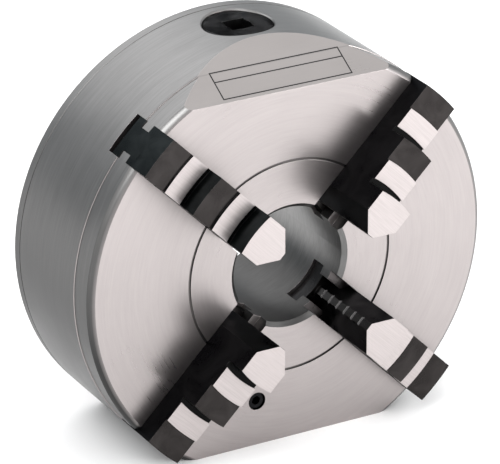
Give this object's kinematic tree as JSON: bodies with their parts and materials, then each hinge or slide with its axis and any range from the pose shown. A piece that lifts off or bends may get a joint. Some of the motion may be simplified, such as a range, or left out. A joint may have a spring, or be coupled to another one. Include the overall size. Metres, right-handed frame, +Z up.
{
  "type": "four-jaw self-centring lathe chuck",
  "caption": "Four-jaw self-centring scroll chuck with one-piece stepped jaws, a radial square-socket drive pinion, a through bore and a recessed back face.",
  "frame": {"origin": "on the chuck's axis, in the plane of the rear mounting face", "axes": "+Y along the axis towards the lathe spindle, -Y the way the jaws look, +Z up through the drive pinion"},
  "size_m": [0.2, 0.105, 0.1845],
  "materials": {
    "body_steel": "face-turned and ground steel, satin",
    "cover_steel": "turned steel, satin",
    "jaw_steel": "hardened steel, black oxide, ground lands bright",
    "scroll_steel": "hardened alloy steel, oiled",
    "pinion_steel": "hardened steel, black oxide",
    "plug_steel": "black oxide steel",
    "fastener_steel": "black oxide alloy steel",
    "dowel_steel": "ground hardened steel",
    "bush_bronze": "sintered bronze"
  },
  "bodies": {
    "body": {"chuck_body": "body_steel", "rear_cover": "cover_steel", "cover_screw_1": "fastener_steel", "cover_screw_2": "fastener_steel", "cover_screw_3": "fastener_steel", "cover_screw_4": "fastener_steel", "cover_screw_5": "fastener_steel", "cover_screw_6": "fastener_steel", "dowel_pin_1": "dowel_steel", "dowel_pin_2": "dowel_steel", "grease_plug": "plug_steel", "pinion_lock_screw": "fastener_steel", "pinion_bush": "bush_bronze"},
    "scroll": {"scroll_ring": "scroll_steel"},
    "pinion": {"drive_pinion": "pinion_steel"},
    "jaw_1": {"jaw_1": "jaw_steel"},
    "jaw_2": {"jaw_2": "jaw_steel"},
    "jaw_3": {"jaw_3": "jaw_steel"},
    "jaw_4": {"jaw_4": "jaw_steel"}
  },
  "joints": [
    {"name": "scroll_spin", "type": "hinge", "parent": "body", "child": "scroll", "pos_m": [0, -0.044, 0], "axis": [0, -1, 0], "range_deg": [-324, 612]},
    {"name": "pinion_spin", "type": "hinge", "parent": "body", "child": "pinion", "pos_m": [0, -0.026, 0.088], "axis": [0, 0, -1], "range_deg": [-1944, 3672]},
    {"name": "jaw_1_slide", "type": "slide", "parent": "body", "child": "jaw_1", "axis": [-0.7071, 0, -0.7071], "range_m": [-0.009, 0.017]},
    {"name": "jaw_2_slide", "type": "slide", "parent": "body", "child": "jaw_2", "axis": [0.7071, 0, -0.7071], "range_m": [-0.009, 0.017]},
    {"name": "jaw_3_slide", "type": "slide", "parent": "body", "child": "jaw_3", "axis": [0.7071, 0, 0.7071], "range_m": [-0.009, 0.017]},
    {"name": "jaw_4_slide", "type": "slide", "parent": "body", "child": "jaw_4", "axis": [-0.7071, 0, 0.7071], "range_m": [-0.009, 0.017]}
  ],
  "couplings": [
    {"joint": "pinion_spin", "follows": "scroll_spin", "ratio": 6},
    {"joint": "jaw_1_slide", "follows": "scroll_spin", "m_per_rad": 0.0015915},
    {"joint": "jaw_2_slide", "follows": "scroll_spin", "m_per_rad": 0.0015915},
    {"joint": "jaw_3_slide", "follows": "scroll_spin", "m_per_rad": 0.0015915},
    {"joint": "jaw_4_slide", "follows": "scroll_spin", "m_per_rad": 0.0015915}
  ]
}
